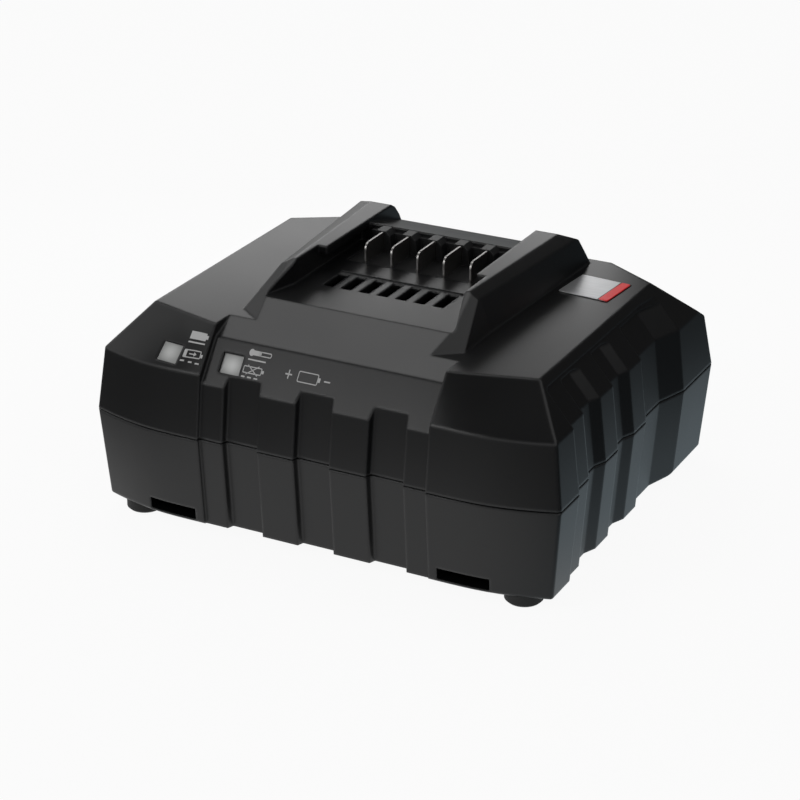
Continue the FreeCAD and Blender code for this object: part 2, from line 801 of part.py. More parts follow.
def centre_slope_frame(across, rise):
    """Placement on the slope between the front wall's top and the crease."""
    lift = SIZES["crease_level"] - SIZES["front_wall_top"]
    climb = (SIZES["front_wall_top"] - SIZES["seam_level"]) / (SIZES["bend_level"] - SIZES["seam_level"])
    low = SIZES["front_step"] + SIZES["front_lean"] * climb
    run = SIZES["crease_setback"] - low
    back = -SIZES["body_depth"] / 2 + low + run * rise / lift
    return slope_frame(across, back, SIZES["front_wall_top"] + rise, 0.0, run, lift)


left_frame = left_slope_frame(-SIZES["light_left"], SIZES["light_left_rise"])
centre_frame = centre_slope_frame(-SIZES["light_centre"], SIZES["light_centre_rise"])
board_middle = (SIZES["light_left"] + SIZES["light_centre"]) / 2
board_frame = Placement(
    Vector(-board_middle, SIZES["led_board_setback"] - SIZES["body_depth"] / 2, SIZES["led_board_level"]),
    Rotation(Vector(1, 0, 0), SIZES["led_board_tilt"]),
)


def tilted_box(name, frame, middle, width, length, top, thickness):
    """A box in a slope frame, centred across and along, with its top face at one depth."""
    solid = doc.addObject("Part::Box", name)
    solid.Length = width
    solid.Width = length
    solid.Height = thickness
    corner = Vector(middle - width / 2, -length / 2, top - thickness)
    solid.Placement = frame * Placement(corner, Rotation())
    return solid


led_posts = []
for number, across in enumerate((0.0, SIZES["led_post_pitch"]), start=1):
    post = doc.addObject("Part::Cylinder", f"led_post_{number}")
    post.setExpression("Radius", bound("led_post_radius"))
    post.setExpression("Height", bound("led_post_length"))
    post.Placement = board_frame * Placement(Vector(across, 0, 0), Rotation())
    led_posts.append(post)

upper_hollow_side = prism("upper_hollow_side", "YZ", [
    (f"{INNER_FRONT} - {LEAN} ", "seam_level - 1"),
    (f"{INNER_FRONT} + front_lean", "bend_level"),
    (f"{INNER_FRONT} + front_lean + hollow_knee_run", "bend_level + hollow_knee_rise"),
    (f"{CREASE_Y} + hollow_setback", "plateau_level - dock_skin"),
    (f"{BACK} - back_lean - back_run - 2 * dock_skin - front_step", "plateau_level - dock_skin"),
    (f"{INNER_BACK} - back_lean", "bend_level"),
    (f"{INNER_BACK} + back_lean / (bend_level - seam_level)", "seam_level - 1"),
], f"-{INNER_SIDE} - 1", f"2 * {INNER_SIDE} + 2")
upper_hollow_front = prism("upper_hollow_front", "XZ", both_sides([
    (f"{INNER_SIDE} + side_lean / (bend_level - seam_level)", "seam_level - 1"),
    (f"{INNER_SIDE} - side_lean", "bend_level"),
    (f"{INNER_SIDE} - side_run", "plateau_level - dock_skin"),
]), FRONT, "body_depth")
upper_hollow_plan = prism("upper_hollow_plan", "XY", cavity_plan("0"), "seam_level - 1", "plateau_level")
dock_hollow = box(
    "dock_hollow",
    ("-bay_half", f"{DOCK_LIP} - 1.6", "plateau_level - dock_skin - 1"),
    ("bay_half", f"{BACK} - rail_back", "dock_floor_level - dock_skin"),
)
upper_core = cut(
    "upper_core",
    fuse("upper_hollow", [
        common("upper_hollow_shape", [upper_hollow_side, upper_hollow_front, upper_hollow_plan]),
        dock_hollow,
    ]),
    at_corners("upper_boss", upright("boss_radius - 1", "seam_level - 1", "plateau_level"), "boss_inset_side",
               "boss_inset_end")
    + [
        cylinder(f"fan_post_{number}", (f"{across} * fan_hole_pitch / 2", f"{FAN_Y} + {along} * fan_hole_pitch / 2",
                                       FAN_TOP), "small_screw_radius + 1.6", "dock_floor_level - plateau_level + 3")
        for number, (across, along) in enumerate(((1, -1), (1, 1), (-1, 1), (-1, -1)), start=1)
    ]
    + led_posts,
)
tongue_seat = prism("tongue_seat", "XY", cavity_plan("tongue_thickness + fit_gap"), "seam_level - 1",
                    "1 - seam_gap + tongue_height")
carrier_opening = box(
    "carrier_opening",
    ("-carrier_half - fit_gap", f"{CARRIER_FRONT} - fit_gap", "dock_floor_level - dock_skin - 1"),
    ("carrier_half + fit_gap", f"{CARRIER_BACK} + fit_gap", "dock_floor_level + 2"),
)
light_openings = [
    tilted_box("light_opening_left", left_frame, 0, SIZES["light_width"] + 2 * SIZES["fit_gap"],
               SIZES["light_length"] + 2 * SIZES["fit_gap"], 2, 2 * SIZES["light_depth"]),
    tilted_box("light_opening_centre", centre_frame, 0, SIZES["light_width"] + 2 * SIZES["fit_gap"],
               SIZES["light_length"] + 2 * SIZES["fit_gap"], 2, 2 * SIZES["light_depth"]),
]
upper_screw_holes = at_corners(
    "screw_hole", upright("screw_radius", "seam_level - 1", "screw_seat_level + screw_length + 1"),
    "boss_inset_side", "boss_inset_end",
)
fan_screw_holes = [
    cylinder(f"fan_screw_hole_{number}", (f"{across} * fan_hole_pitch / 2", f"{FAN_Y} + {along} * fan_hole_pitch / 2",
                                         f"{FAN_TOP} - 1"), "small_screw_radius", "fan_post_length + 1.5")
    for number, (across, along) in enumerate(((1, -1), (1, 1), (-1, 1), (-1, -1)), start=1)
]
upper_skin = cut("upper_skin", fuse("upper_outer", [upper_round, dock_block]),
                 [front_cut, rear_cut, upper_back_panel, nose_facet("nose_right", 1), nose_facet("nose_left", -1)]
                 + wall_cutters("upper"))
upper_cut = cut("upper_cut", upper_skin, [
    upper_core, tongue_seat, bay_front, groove, bay_top, deck, carrier_opening,
    *slots, *light_openings, *upper_screw_holes, *fan_screw_holes,
])
floor_ridge = box(
    "floor_ridge",
    ("-ridge_half", f"{FRONT} + ridge_place - ridge_width / 2", "dock_floor_level - 1"),
    ("ridge_half", f"{FRONT} + ridge_place + ridge_width / 2", "dock_floor_level + ridge_height"),
)
keep("upper_housing", fuse("upper_finished", [upper_cut, floor_ridge]))

# Light windows, their board and the lamps on it
keep("light_window_left", tilted_box("light_pane_left", left_frame, 0, SIZES["light_width"], SIZES["light_length"],
                                     -SIZES["light_recess"], SIZES["light_depth"]))
keep("light_window_centre", tilted_box(
    "light_pane_centre", centre_frame, 0, SIZES["light_width"], SIZES["light_length"], -SIZES["light_centre_recess"],
    SIZES["light_depth"] + SIZES["light_recess"] - SIZES["light_centre_recess"],
))
keep("led_board", tilted_box(
    "led_board_blank", board_frame, SIZES["led_board_shift"], SIZES["led_board_length"], SIZES["led_board_width"],
    0, SIZES["led_board_thickness"],
))
keep("status_lamps", group("lamps", [
    tilted_box(f"lamp_{side}", board_frame, board_middle - SIZES[f"light_{side}"], SIZES["lamp_width"],
               SIZES["lamp_length"], SIZES["lamp_height"], SIZES["lamp_height"])
    for side in ("left", "centre")
]))


def turned(name, place, corners):
    """A piece turned about an upright axis, from its half outline."""
    sketch = outline(f"{name}_outline", "XZ", [(f"({place[0]}) + ({across})", up) for across, up in corners], place[1])
    solid = doc.addObject("Part::Revolution", name)
    solid.Source = sketch
    solid.Axis = Vector(0, 0, 1)
    solid.Angle = 360
    solid.Solid = True
    solid.setExpression("Base.x", bound(place[0]))
    solid.setExpression("Base.y", bound(place[1]))
    return solid


def foot(name, place):
    return turned(name, place, [
        ("0", "0"),
        ("foot_radius - foot_chamfer", "0"),
        ("foot_radius", "foot_chamfer"),
        ("foot_radius", "base_level + foot_recess"),
        ("0", "base_level + foot_recess"),
    ])


def housing_screw(name, place):
    return turned(name, place, [
        ("0", "screw_seat_level - screw_head_height"),
        ("screw_head_radius", "screw_seat_level - screw_head_height"),
        ("screw_head_radius", "screw_seat_level"),
        ("screw_radius", "screw_seat_level"),
        ("screw_radius", "screw_seat_level + screw_length"),
        ("0", "screw_seat_level + screw_length"),
    ])


def board_screw(name, place):
    return turned(name, place, [
        ("0", "base_level + wall + 2"),
        ("small_screw_radius", "base_level + wall + 2"),
        ("small_screw_radius", BOARD_TOP),
        ("small_screw_head", BOARD_TOP),
        ("small_screw_head", f"{BOARD_TOP} + 1.8"),
        ("0", f"{BOARD_TOP} + 1.8"),
    ])


keep("rubber_feet", group("feet", at_corners("foot", foot, "foot_inset_side", "foot_inset_end")))
keep("housing_screws", group("long_screws", at_corners("long_screw", housing_screw, "boss_inset_side", "boss_inset_end")))
keep("board_screws", group("short_screws", at_board_holes("short_screw", board_screw)))

# Cable inlet in the back wall
gland_profile = outline("gland_profile", "YZ", [
    (f"{INNER_BACK} - 2 - gland_flange", "gland_level + gland_bore"),
    (f"{BACK} - front_step + gland_flange", "gland_level + gland_bore"),
    (f"{BACK} - front_step + gland_flange", "gland_level + gland_flange_radius - 1"),
    (f"{BACK} - front_step + gland_flange / 2", "gland_level + gland_flange_radius"),
    (f"{BACK} - front_step", "gland_level + gland_flange_radius"),
    (f"{BACK} - front_step", "gland_level + gland_radius"),
    (f"{INNER_BACK} - 1", "gland_level + gland_radius"),
    (f"{INNER_BACK} - 1", "gland_level + gland_radius + 1.2"),
    (f"{INNER_BACK} - 2 - gland_flange", "gland_level + gland_radius + 0.6"),
])
gland = doc.addObject("Part::Revolution", "gland")
gland.Source = gland_profile
gland.Axis = Vector(0, 1, 0)
gland.Angle = 360
gland.Solid = True
gland.setExpression("Base.z", bound("gland_level"))
keep("cable_gland", gland)

# Contact blades and the block that carries them
BLADE_BASE = "(dock_floor_level - 3)"
BLADE_FRONT = f"({FRONT} + blade_front)"
BLADE_TOP = "(dock_floor_level + blade_height)"
BLADE_ROOT = f"({BLADE_FRONT} + blade_reach + blade_root)"
blades = []
for number in range(int(SIZES["contact_count"])):
    centre = f"({number} - (contact_count - 1) / 2) * contact_pitch"
    blank = prism(f"blade_{number + 1}", "YZ", [
        (BLADE_FRONT, BLADE_BASE),
        (BLADE_FRONT, BLADE_TOP),
        (BLADE_ROOT, BLADE_TOP),
        (BLADE_ROOT, BLADE_BASE),
        (f"{BLADE_FRONT} + blade_reach + blade_tail_width", BLADE_BASE),
        (f"{BLADE_FRONT} + blade_reach + blade_tail_width", "blade_tail_level"),
        (f"{BLADE_FRONT} + blade_reach", "blade_tail_level"),
        (f"{BLADE_FRONT} + blade_reach", BLADE_BASE),
    ], f"{centre} - blade_thickness / 2", "blade_thickness")
    doc.recompute()
    blade = doc.addObject("Part::Fillet", f"blade_{number + 1}_rounded")
    blade.Base = blank
    highest_front = min(
        (edge.CenterOfMass.y - edge.CenterOfMass.z, index)
        for index, edge in enumerate(blank.Shape.Edges, start=1)
        if abs(edge.Length - SIZES["blade_thickness"]) < 0.01
    )
    blade.Edges = [(highest_front[1], SIZES["blade_radius"], SIZES["blade_radius"])]
    keep(f"contact_blade_{number + 1}", blade)
    blades.append(blade)
TOWER_FRONT = f"({BLADE_FRONT} + blade_reach)"
carrier_pieces = [
    box("carrier_plate", ("-carrier_half", CARRIER_FRONT, "dock_floor_level - dock_skin"),
        ("carrier_half", CARRIER_BACK, "dock_floor_level - 0.3")),
    box("carrier_flange", ("-carrier_half - carrier_flange / 2", f"{CARRIER_FRONT} - carrier_flange / 2", "carrier_base_level"),
        ("carrier_half + carrier_flange / 2", f"{CARRIER_BACK} + carrier_flange", "dock_floor_level - dock_skin")),
    box("carrier_wall", ("-carrier_half", f"{CARRIER_BACK} - carrier_wall", "dock_floor_level - 1"),
        ("carrier_half", CARRIER_BACK, "tower_level - 1.6")),
]
for number in range(int(SIZES["contact_count"])):
    centre = f"({number} - (contact_count - 1) / 2) * contact_pitch"
    carrier_pieces.append(prism(f"tower_{number + 1}", "XZ", [
        (f"{centre} - tower_width / 2", "dock_floor_level - 1"),
        (f"{centre} - tower_width / 2", "tower_level"),
        (f"{centre} + tower_width / 2 - tower_chamfer", "tower_level"),
        (f"{centre} + tower_width / 2", "tower_level - tower_chamfer"),
        (f"{centre} + tower_width / 2 + 1", "dock_floor_level - 1"),
    ], TOWER_FRONT, f"{CARRIER_BACK} - {TOWER_FRONT}"))
keep("contact_carrier", cut("carrier", fuse("carrier_block", carrier_pieces), blades))

# Main board
board_blank = box("board_blank", ("-board_width / 2", "-board_depth / 2", "board_level"),
                  ("board_width / 2", "board_depth / 2", BOARD_TOP))
keep("main_board", cut("board_drilled", board_blank, at_board_holes(
    "board_hole", upright("small_screw_radius", "board_level - 1", f"{BOARD_TOP} + 1"))))

# Transformer: an E core standing on its bobbin, with the winding round the middle leg
CORE_LOW = f"({BOARD_TOP} + core_lift)"
CORE_HIGH = f"({CORE_LOW} + core_height)"
CORE_SIDE = "core_width / 2"
core_block = box("core_block", (f"core_place_x - {CORE_SIDE}", "core_place_y - core_depth / 2", CORE_LOW),
                 (f"core_place_x + {CORE_SIDE}", "core_place_y + core_depth / 2", CORE_HIGH))
core_windows = [
    box(f"core_window_{side}",
        (f"core_place_x + {low}", "core_place_y - core_depth", f"{CORE_LOW} + core_leg"),
        (f"core_place_x + {high}", "core_place_y + core_depth", f"{CORE_HIGH} - core_leg"))
    for side, low, high in (
        ("left", f"core_leg - {CORE_SIDE}", "(-core_centre / 2)"),
        ("right", "core_centre / 2", f"({CORE_SIDE} - core_leg)"),
    )
]
keep("transformer_core", cut("core", core_block, core_windows))


def ring_round_leg(name, gap, thickness, low, high):
    """A square ring round the middle leg of the core."""
    inner_x, inner_y = f"(core_centre / 2 + {gap})", f"(core_depth / 2 + {gap})"
    outer = box(f"{name}_outer", (f"core_place_x - {inner_x} - {thickness}", f"core_place_y - {inner_y} - {thickness}", low),
                (f"core_place_x + {inner_x} + {thickness}", f"core_place_y + {inner_y} + {thickness}", high))
    inner = box(f"{name}_inner", (f"core_place_x - {inner_x}", f"core_place_y - {inner_y}", f"{low} - 1"),
                (f"core_place_x + {inner_x}", f"core_place_y + {inner_y}", f"{high} + 1"))
    return cut(name, outer, [inner])


BOBBIN_LOW = f"({CORE_LOW} + core_leg)"
BOBBIN_HIGH = f"({CORE_HIGH} - core_leg)"
bobbin_rings = [
    ring_round_leg("bobbin_tube", "0", "winding_gap", BOBBIN_LOW, BOBBIN_HIGH),
    ring_round_leg("bobbin_top", "0", "winding_gap + winding_thickness", f"{BOBBIN_HIGH} - flange_thickness", BOBBIN_HIGH),
    ring_round_leg("bobbin_bottom", "0", "winding_gap + winding_thickness", BOBBIN_LOW, f"{BOBBIN_LOW} + flange_thickness"),
]
BOBBIN_SIDE = "(core_depth / 2 + winding_gap + winding_thickness)"
bobbin_feet = [
    box(f"bobbin_foot_{side}", ("core_place_x - core_centre / 2 - winding_thickness", f"core_place_y + {low}", BOARD_TOP),
        ("core_place_x + core_centre / 2 + winding_thickness", f"core_place_y + {high}", f"{BOBBIN_LOW} + flange_thickness"))
    for side, low, high in (
        ("front", f"(-{BOBBIN_SIDE})", "(-core_depth / 2 - winding_gap)"),
        ("back", "(core_depth / 2 + winding_gap)", BOBBIN_SIDE),
    )
]
keep("transformer_bobbin", fuse("bobbin", bobbin_rings + bobbin_feet))
keep("transformer_winding", ring_round_leg("winding", "winding_gap", "winding_thickness - 0.4",
                                           f"{BOBBIN_LOW} + flange_thickness", f"{BOBBIN_HIGH} - flange_thickness"))


def capacitor(name, place, radius, height):
    """A can capacitor standing on the board, its top edge rounded."""
    can = cylinder(f"{name}_can", (*place, BOARD_TOP), radius, height)
    doc.recompute()
    rounded = doc.addObject("Part::Fillet", name)
    rounded.Base = can
    rounded.Edges = [(number, SIZES["can_edge"], SIZES["can_edge"]) for number, edge in enumerate(can.Shape.Edges, start=1)
                     if edge.Closed and edge.CenterOfMass.z > can.Shape.CenterOfMass.z]
    return rounded


keep("mains_capacitor", capacitor("mains_can", ("board_width / 2 - mains_can_inset", "0"), "mains_can_radius",
                                  "mains_can_height"))
keep("output_capacitors", group("output_cans", [
    capacitor(f"output_can_{number}",
              (f"output_can_start + {number} * output_can_pitch", "output_can_inset - board_depth / 2"),
              "output_can_radius", "output_can_height")
    for number in range(3)
]))
CHOKE_PLACE = ("choke_inset_side - board_width / 2", "board_depth / 2 - choke_inset_end")
choke = doc.addObject("Part::Torus", "choke")
choke.setExpression("Radius1", bound("choke_radius"))
choke.setExpression("Radius2", bound("choke_thickness"))
choke.setExpression("Placement.Base.x", bound(CHOKE_PLACE[0]))
choke.setExpression("Placement.Base.y", bound(CHOKE_PLACE[1]))
choke.setExpression("Placement.Base.z", bound(f"{BOARD_TOP} + choke_thickness"))
choke_base = cylinder("choke_base", (*CHOKE_PLACE, BOARD_TOP), "choke_base_radius", "choke_base_height")
keep("filter_choke", fuse("choke_on_base", [choke, choke_base]))
FUSE_X = "(board_width / 2 - fuse_inset_side)"
FUSE_Y = "(board_depth / 2 - fuse_inset_end)"
fuse_tube = doc.addObject("Part::Cylinder", "fuse_tube")
fuse_tube.Placement = Placement(Vector(), Rotation(Vector(0, 1, 0), 90))
fuse_tube.setExpression("Radius", bound("fuse_radius"))
fuse_tube.setExpression("Height", bound("fuse_length"))
fuse_tube.setExpression("Placement.Base.x", bound(FUSE_X))
fuse_tube.setExpression("Placement.Base.y", bound(FUSE_Y))
fuse_tube.setExpression("Placement.Base.z", bound(f"{BOARD_TOP} + fuse_rise"))
keep("fuse", fuse_tube)
keep("fuse_clips", group("clips", [
    cut(f"clip_{number}",
        box(f"clip_block_{number}", (f"{FUSE_X} + {start}", f"{FUSE_Y} - clip_half", BOARD_TOP),
            (f"{FUSE_X} + {start} + clip_length", f"{FUSE_Y} + clip_half", f"{BOARD_TOP} + clip_height")), [fuse_tube])
    for number, start in ((1, "1"), (2, "(fuse_length - clip_length - 1)"))
]))
RECTIFIER_X = "(board_width / 2 - rectifier_inset)"
keep("bridge_rectifier", box("rectifier", (f"{RECTIFIER_X} - rectifier_width", "rectifier_place", BOARD_TOP),
                             (RECTIFIER_X, "rectifier_place + rectifier_depth", f"{BOARD_TOP} + rectifier_height")))
SINK_X = "(sink_inset - board_width / 2)"
SINK_TOP = f"{BOARD_TOP} + sink_height"
sink_pieces = [box("sink_plate", (SINK_X, "sink_front", BOARD_TOP),
                   (f"{SINK_X} + sink_plate", "sink_front + sink_length", SINK_TOP))]
for number in range(8):
    sink_pieces.append(box(f"sink_fin_{number}", (f"{SINK_X} - sink_reach", f"sink_front + {number} * sink_pitch", BOARD_TOP),
                           (f"{SINK_X} + 0.5", f"sink_front + {number} * sink_pitch + sink_fin", SINK_TOP)))
keep("heat_sink", fuse("sink", sink_pieces))
TRANSISTOR_X = f"({SINK_X} + sink_plate)"
PIN_X = f"({TRANSISTOR_X} + 2)"
keep("power_transistors", group("transistors", [
    fuse(f"transistor_{number}", [
        box(f"transistor_body_{number}", (TRANSISTOR_X, f"sink_front + {start}", f"{BOARD_TOP} + transistor_low"),
            (f"{TRANSISTOR_X} + transistor_depth", f"sink_front + {start} + transistor_width",
             f"{BOARD_TOP} + transistor_high")),
        *[box(f"transistor_leg_{number}_{leg}",
              (PIN_X, f"sink_front + {start} + 2 + {leg} * transistor_pin_pitch", BOARD_TOP),
              (f"{PIN_X} + transistor_pin_depth",
               f"sink_front + {start} + 2 + {leg} * transistor_pin_pitch + transistor_pin_width",
               f"{BOARD_TOP} + transistor_low + 1")) for leg in range(3)],
    ]) for number, start in ((1, "5"), (2, "26"))
]))
TERMINAL_BACK = "(board_depth / 2 - terminal_inset)"
keep("mains_terminal", box("terminal", ("-terminal_half", f"{TERMINAL_BACK} - terminal_depth", BOARD_TOP),
                           ("terminal_half", TERMINAL_BACK, f"{BOARD_TOP} + terminal_height")))
keep("harness_socket", box("socket", ("socket_place_x", "socket_place_y", BOARD_TOP),
                           ("socket_place_x + socket_width", "socket_place_y + socket_depth",
                            f"{BOARD_TOP} + socket_height")))

# Fan: square frame with a round duct, hub carried by four struts, and the axle
FAN_LOW = f"({FAN_TOP} - fan_height)"
FAN_HALF = "fan_size / 2"
fan_block = box("fan_block", (f"-{FAN_HALF}", f"{FAN_Y} - {FAN_HALF}", FAN_LOW), (FAN_HALF, f"{FAN_Y} + {FAN_HALF}", FAN_TOP))
fan_spots = [
    (f"{across} * fan_hole_pitch / 2", f"{FAN_Y} + {along} * fan_hole_pitch / 2")
    for across, along in ((1, -1), (1, 1), (-1, 1), (-1, -1))
]
fan_holes = [cylinder(f"fan_hole_{number}", (*spot, f"{FAN_LOW} - 1"), "small_screw_radius", "fan_height + 2")
             for number, spot in enumerate(fan_spots, start=1)]
duct = cylinder("duct", ("0", FAN_Y, f"{FAN_LOW} - 1"), "duct_radius", "fan_height + 2")
struts = [
    box("strut_across", (f"-{FAN_HALF} + 1", f"{FAN_Y} - 1", FAN_LOW), (f"{FAN_HALF} - 1", f"{FAN_Y} + 1", f"{FAN_LOW} + 1.5")),
    box("strut_along", ("-1", f"{FAN_Y} - {FAN_HALF} + 1", FAN_LOW), ("1", f"{FAN_Y} + {FAN_HALF} - 1", f"{FAN_LOW} + 1.5")),
    cylinder("motor_plate", ("0", FAN_Y, FAN_LOW), "rotor_hub", "1.5"),
    cylinder("axle", ("0", FAN_Y, FAN_LOW), "axle_radius", "fan_height - 2"),
]
keep("fan_frame", fuse("fan_body", [cut("fan_ring", fan_block, [duct, *fan_holes]), *struts]))

ROTOR_LOW = f"({FAN_LOW} + 1.5 + rotor_gap)"
ROTOR_HEIGHT = "(fan_height - 1.5 - 2 * rotor_gap)"
hub = cylinder("hub", ("0", FAN_Y, ROTOR_LOW), "rotor_hub", ROTOR_HEIGHT)
hub_bore = cylinder("hub_bore", ("0", FAN_Y, f"{ROTOR_LOW} - 1"), "axle_radius + axle_gap", f"fan_height - 2 + rotor_gap")
ring = cylinder("sweep_disc", ("0", FAN_Y, ROTOR_LOW), "rotor_radius", ROTOR_HEIGHT)
doc.recompute()
vanes = []
for number in range(int(SIZES["fan_blades"])):
    vane = doc.addObject("Part::Box", f"vane_{number}")
    reach = SIZES["rotor_radius"] + 2
    chord = 2 * SIZES["fan_height"]
    vane.Length = reach
    vane.Width = SIZES["fan_blade_thickness"]
    vane.Height = chord
    around = Rotation(Vector(0, 0, 1), 360 * number / SIZES["fan_blades"])
    tilt = Rotation(Vector(1, 0, 0), SIZES["fan_blade_turn"])
    vane.Placement = Placement(ring.Shape.CenterOfMass, around * tilt) * Placement(
        Vector(0, -SIZES["fan_blade_thickness"] / 2, -chord / 2), Rotation())
    vanes.append(vane)
keep("fan_rotor", cut("rotor", fuse("rotor_blank", [hub, common("vanes", [fuse("vane_star", vanes), ring])]), [hub_bore]))
keep("fan_screws", group("fan_screw_set", [
    turned(f"fan_screw_{number}", spot, [
        ("0", f"{FAN_LOW} - 1.6"),
        ("small_screw_head", f"{FAN_LOW} - 1.6"),
        ("small_screw_head", FAN_LOW),
        ("small_screw_radius", FAN_LOW),
        ("small_screw_radius", f"{FAN_TOP} + fan_post_length"),
        ("0", f"{FAN_TOP} + fan_post_length"),
    ]) for number, spot in enumerate(fan_spots, start=1)
]))

doc.recompute()
for item in doc.Objects:
    if "Invalid" in item.State or "Error" in item.State:
        raise RuntimeError(f"{item.Name} failed: {item.State}")
for name, solid in NODES.items():
    if solid.Shape.isNull() or not solid.Shape.isValid() or not solid.Shape.Solids:
        raise RuntimeError(f"{name} has no valid solid")
for name, solid in NODES.items():
    solid.Shape.exportStep(f"parts/{name}.step")
    print(f"{name}: {len(solid.Shape.Solids)} solid, {solid.Shape.Volume / 1000:.2f} cm3")
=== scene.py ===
import math

import bpy
import numpy as np
from mathutils import Euler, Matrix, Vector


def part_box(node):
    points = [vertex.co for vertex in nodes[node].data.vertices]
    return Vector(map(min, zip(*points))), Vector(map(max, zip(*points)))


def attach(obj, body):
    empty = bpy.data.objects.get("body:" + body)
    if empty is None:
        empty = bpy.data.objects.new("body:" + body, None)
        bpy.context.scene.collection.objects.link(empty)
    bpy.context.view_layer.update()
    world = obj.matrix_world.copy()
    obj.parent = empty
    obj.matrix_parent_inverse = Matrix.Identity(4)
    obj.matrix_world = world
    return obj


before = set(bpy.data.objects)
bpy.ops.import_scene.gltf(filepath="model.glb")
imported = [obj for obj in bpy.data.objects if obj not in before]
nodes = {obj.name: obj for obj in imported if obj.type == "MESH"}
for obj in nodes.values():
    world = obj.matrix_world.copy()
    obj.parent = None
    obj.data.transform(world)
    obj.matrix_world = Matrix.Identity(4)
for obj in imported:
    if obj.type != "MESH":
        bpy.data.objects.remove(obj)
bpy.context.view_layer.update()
mm = 0.001
print("frame loaded:", len(nodes), "nodes")


# helpers for node trees

def put(tree, kind, inputs=None, **settings):
    # an input given as a socket is linked, any other is set on the node
    node = tree.nodes.new(kind)
    for key, value in settings.items():
        setattr(node, key, value)
    for key, value in (inputs or {}).items():
        if isinstance(value, bpy.types.NodeSocket):
            tree.links.new(value, node.inputs[key])
        else:
            node.inputs[key].default_value = value
    return node


def sums(tree, operation, first, second, clamp=False):
    return put(tree, "ShaderNodeMath", {0: first, 1: second}, operation=operation, use_clamp=clamp).outputs[0]


def between(tree, value, start, end, low, high):
    # a smooth step: low before start, high after end
    step = {"Value": value, "From Min": start, "From Max": end, "To Min": low, "To Max": high}
    return put(tree, "ShaderNodeMapRange", step, interpolation_type="SMOOTHSTEP").outputs[0]


def blend(tree, share, first, second):
    colours = {0: share, 6: (*first, 1), 7: (*second, 1)}
    return put(tree, "ShaderNodeMix", colours, data_type="RGBA").outputs[2]


def swing(tree, noise, amount, mean=0.5):
    # a noise about its mean, times an amount
    return sums(tree, "MULTIPLY", sums(tree, "SUBTRACT", noise, mean), amount)


def newGroup(name, inputs, outputs):
    group = bpy.data.node_groups.new(name, "ShaderNodeTree")
    for label, kind, value in inputs:
        socket = group.interface.new_socket(label, in_out="INPUT", socket_type="NodeSocket" + kind)
        socket.default_value = value
    for label, kind in outputs:
        group.interface.new_socket(label, in_out="OUTPUT", socket_type="NodeSocket" + kind)
    return group, group.nodes.new("NodeGroupInput").outputs, group.nodes.new("NodeGroupOutput").inputs


# the fine spark-eroded grain of moulded plastic: a noise and cells for its height,
# and a broad noise for how it wears smooth
cellShare = 0.5
grain, given, result = newGroup(
    "mouldGrain",
    [("Scale", "Float", 2600.0), ("Rough", "Float", 0.4), ("Spread", "Float", 0.06)],
    [("Height", "Float"), ("Roughness", "Float")])
place = put(grain, "ShaderNodeTexCoord").outputs["Object"]
fine = put(grain, "ShaderNodeTexNoise",
           {"Vector": place, "Scale": given["Scale"], "Detail": 3.0, "Roughness": 0.6})
cells = put(grain, "ShaderNodeTexVoronoi", {"Vector": place, "Scale": given["Scale"]})
broad = put(grain, "ShaderNodeTexNoise", {"Vector": place, "Scale": 26.0, "Detail": 4.0})
pits = sums(grain, "MULTIPLY", cells.outputs["Distance"], cellShare)
shift = swing(grain, broad.outputs["Fac"], given["Spread"])
grain.links.new(sums(grain, "ADD", fine.outputs["Fac"], pits), result["Height"])
grain.links.new(sums(grain, "ADD", given["Rough"], shift), result["Roughness"])

# how near a sharp edge a point lies, for the painted sheen along edges: the rounded normal leaves the flat
# one there
edgeGain = 6.0
edgeSheen, given, result = newGroup(
    "paintedEdgeSheen",
    [("Rounded", "Vector", (0.0, 0.0, 0.0)), ("Amount", "Float", 1.0)],
    [("Mask", "Float")])
flat = put(edgeSheen, "ShaderNodeNewGeometry").outputs["Normal"]
meeting = put(edgeSheen, "ShaderNodeVectorMath", {0: flat, 1: given["Rounded"]}, operation="DOT_PRODUCT")
leaving = sums(edgeSheen, "SUBTRACT", 1.0, meeting.outputs["Value"])
away = sums(edgeSheen, "MULTIPLY", leaving, edgeGain, clamp=True)
edgeSheen.links.new(sums(edgeSheen, "MULTIPLY", away, given["Amount"], clamp=True), result["Mask"])

# drawn or rolled metal: a noise stretched along one axis
drawn, given, result = newGroup(
    "drawnMetal",
    [("Stretch", "Vector", (200.0, 200.0, 4000.0)), ("Rough", "Float", 0.3), ("Spread", "Float", 0.2)],
    [("Height", "Float"), ("Roughness", "Float")])
place = put(drawn, "ShaderNodeTexCoord").outputs["Object"]
run = put(drawn, "ShaderNodeVectorMath", {0: place, 1: given["Stretch"]}, operation="MULTIPLY").outputs[0]
lines = put(drawn, "ShaderNodeTexNoise", {"Vector": run, "Scale": 1.0, "Detail": 4.0, "Roughness": 0.65})
shift = swing(drawn, lines.outputs["Fac"], given["Spread"])
drawn.links.new(lines.outputs["Fac"], result["Height"])
drawn.links.new(sums(drawn, "ADD", given["Rough"], shift), result["Roughness"])
print("shader groups built")


# materials; edges, relief and reach are in millimetres

relief = {"bevelSamples": 6, "height": 0.02}


def newMaterial(name):
    material = bpy.data.materials.new(name)
    material.use_nodes = True
    return material, material.node_tree, material.node_tree.nodes["Principled BSDF"]


def softened(tree, radius):
    # the normal as it would run over edges of this radius
    bevel = put(tree, "ShaderNodeBevel", {"Radius": radius * mm}, samples=relief["bevelSamples"])
    return bevel.outputs[0]


def raised(tree, height, depth, normal):
    # the fine relief of the surface, laid over the softened normal
    bump = {"Height": height, "Strength": depth, "Distance": relief["height"] * mm, "Normal": normal}
    return put(tree, "ShaderNodeBump", bump).outputs[0]


